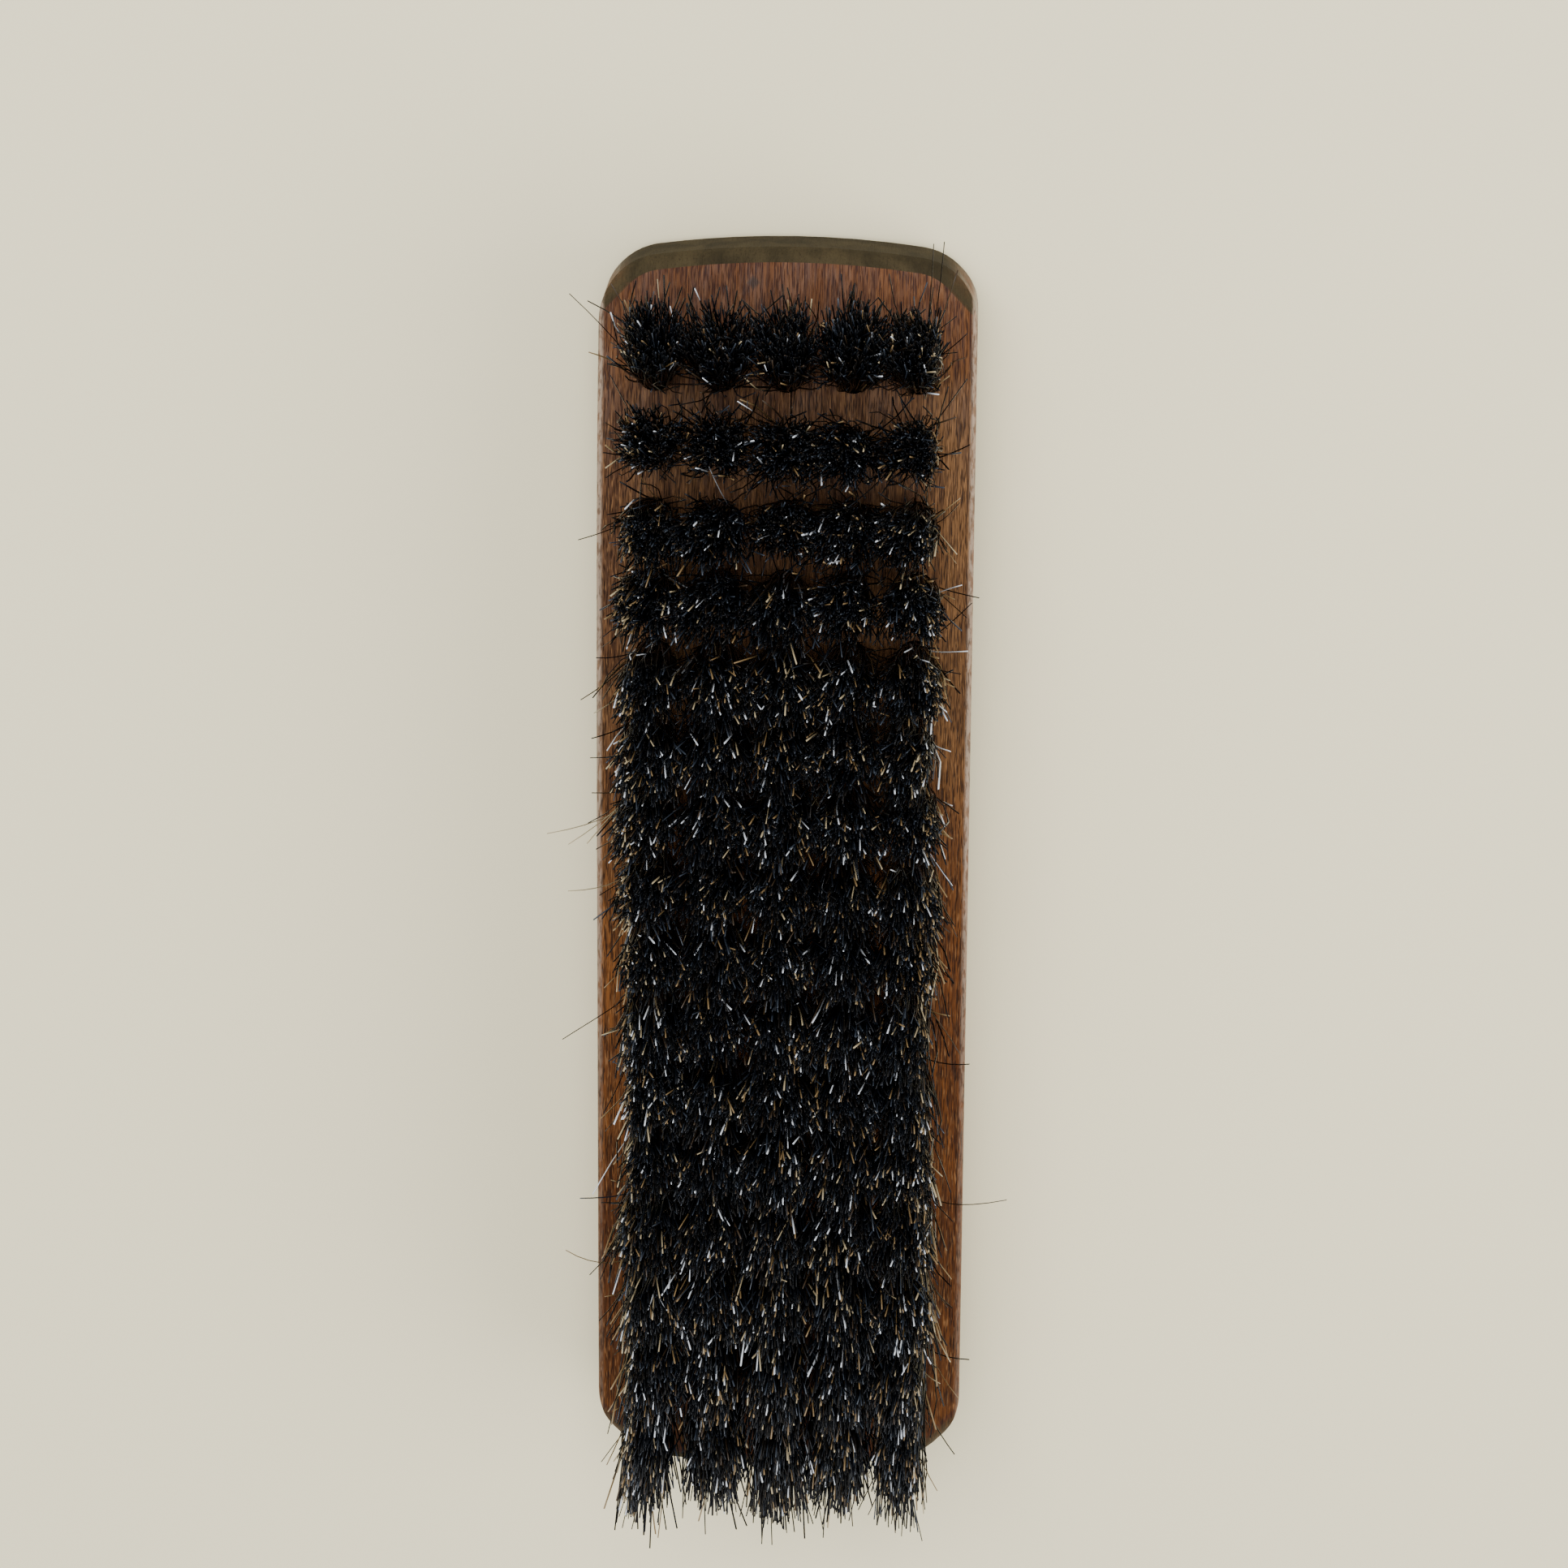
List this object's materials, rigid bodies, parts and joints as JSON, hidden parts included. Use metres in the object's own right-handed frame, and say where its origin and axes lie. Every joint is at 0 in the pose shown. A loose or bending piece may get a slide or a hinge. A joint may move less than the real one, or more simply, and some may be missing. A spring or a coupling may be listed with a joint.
{
  "type": "clothes brush",
  "caption": "Hand-held clothes brush: a stained wooden block with an arched face and an S-shaped back, set with rows of trimmed horsehair tufts.",
  "frame": {"origin": "centre of the bounding box, on the surface that the brush lies on when it rests on its back", "axes": "+X along the block towards its thin end, +Y across the block, +Z the way the hair points"},
  "size_m": [0.1718, 0.05, 0.0445],
  "materials": {
    "stained_wood": "satin varnish over a reddish-brown stain",
    "horsehair": "natural mixed horsehair, mostly black, some brown, tan and grey",
    "anchor_wire": "drawn flat wire",
    "label_film": "blank glossy film"
  },
  "bodies": {
    "root": {"block": "stained_wood", "back_label": "label_film", "tuft_row_01": "horsehair", "tuft_row_02": "horsehair", "tuft_row_03": "horsehair", "tuft_row_04": "horsehair", "tuft_row_05": "horsehair", "tuft_row_06": "horsehair", "tuft_row_07": "horsehair", "tuft_row_08": "horsehair", "tuft_row_09": "horsehair", "tuft_row_10": "horsehair", "tuft_row_11": "horsehair", "tuft_row_12": "horsehair", "tuft_row_13": "horsehair", "tuft_row_14": "horsehair", "tuft_row_15": "horsehair", "tuft_row_16": "horsehair", "anchor_row_01": "anchor_wire", "anchor_row_02": "anchor_wire", "anchor_row_03": "anchor_wire", "anchor_row_04": "anchor_wire", "anchor_row_05": "anchor_wire", "anchor_row_06": "anchor_wire", "anchor_row_07": "anchor_wire", "anchor_row_08": "anchor_wire", "anchor_row_09": "anchor_wire", "anchor_row_10": "anchor_wire", "anchor_row_11": "anchor_wire", "anchor_row_12": "anchor_wire", "anchor_row_13": "anchor_wire", "anchor_row_14": "anchor_wire", "anchor_row_15": "anchor_wire", "anchor_row_16": "anchor_wire"}
  },
  "joints": []
}
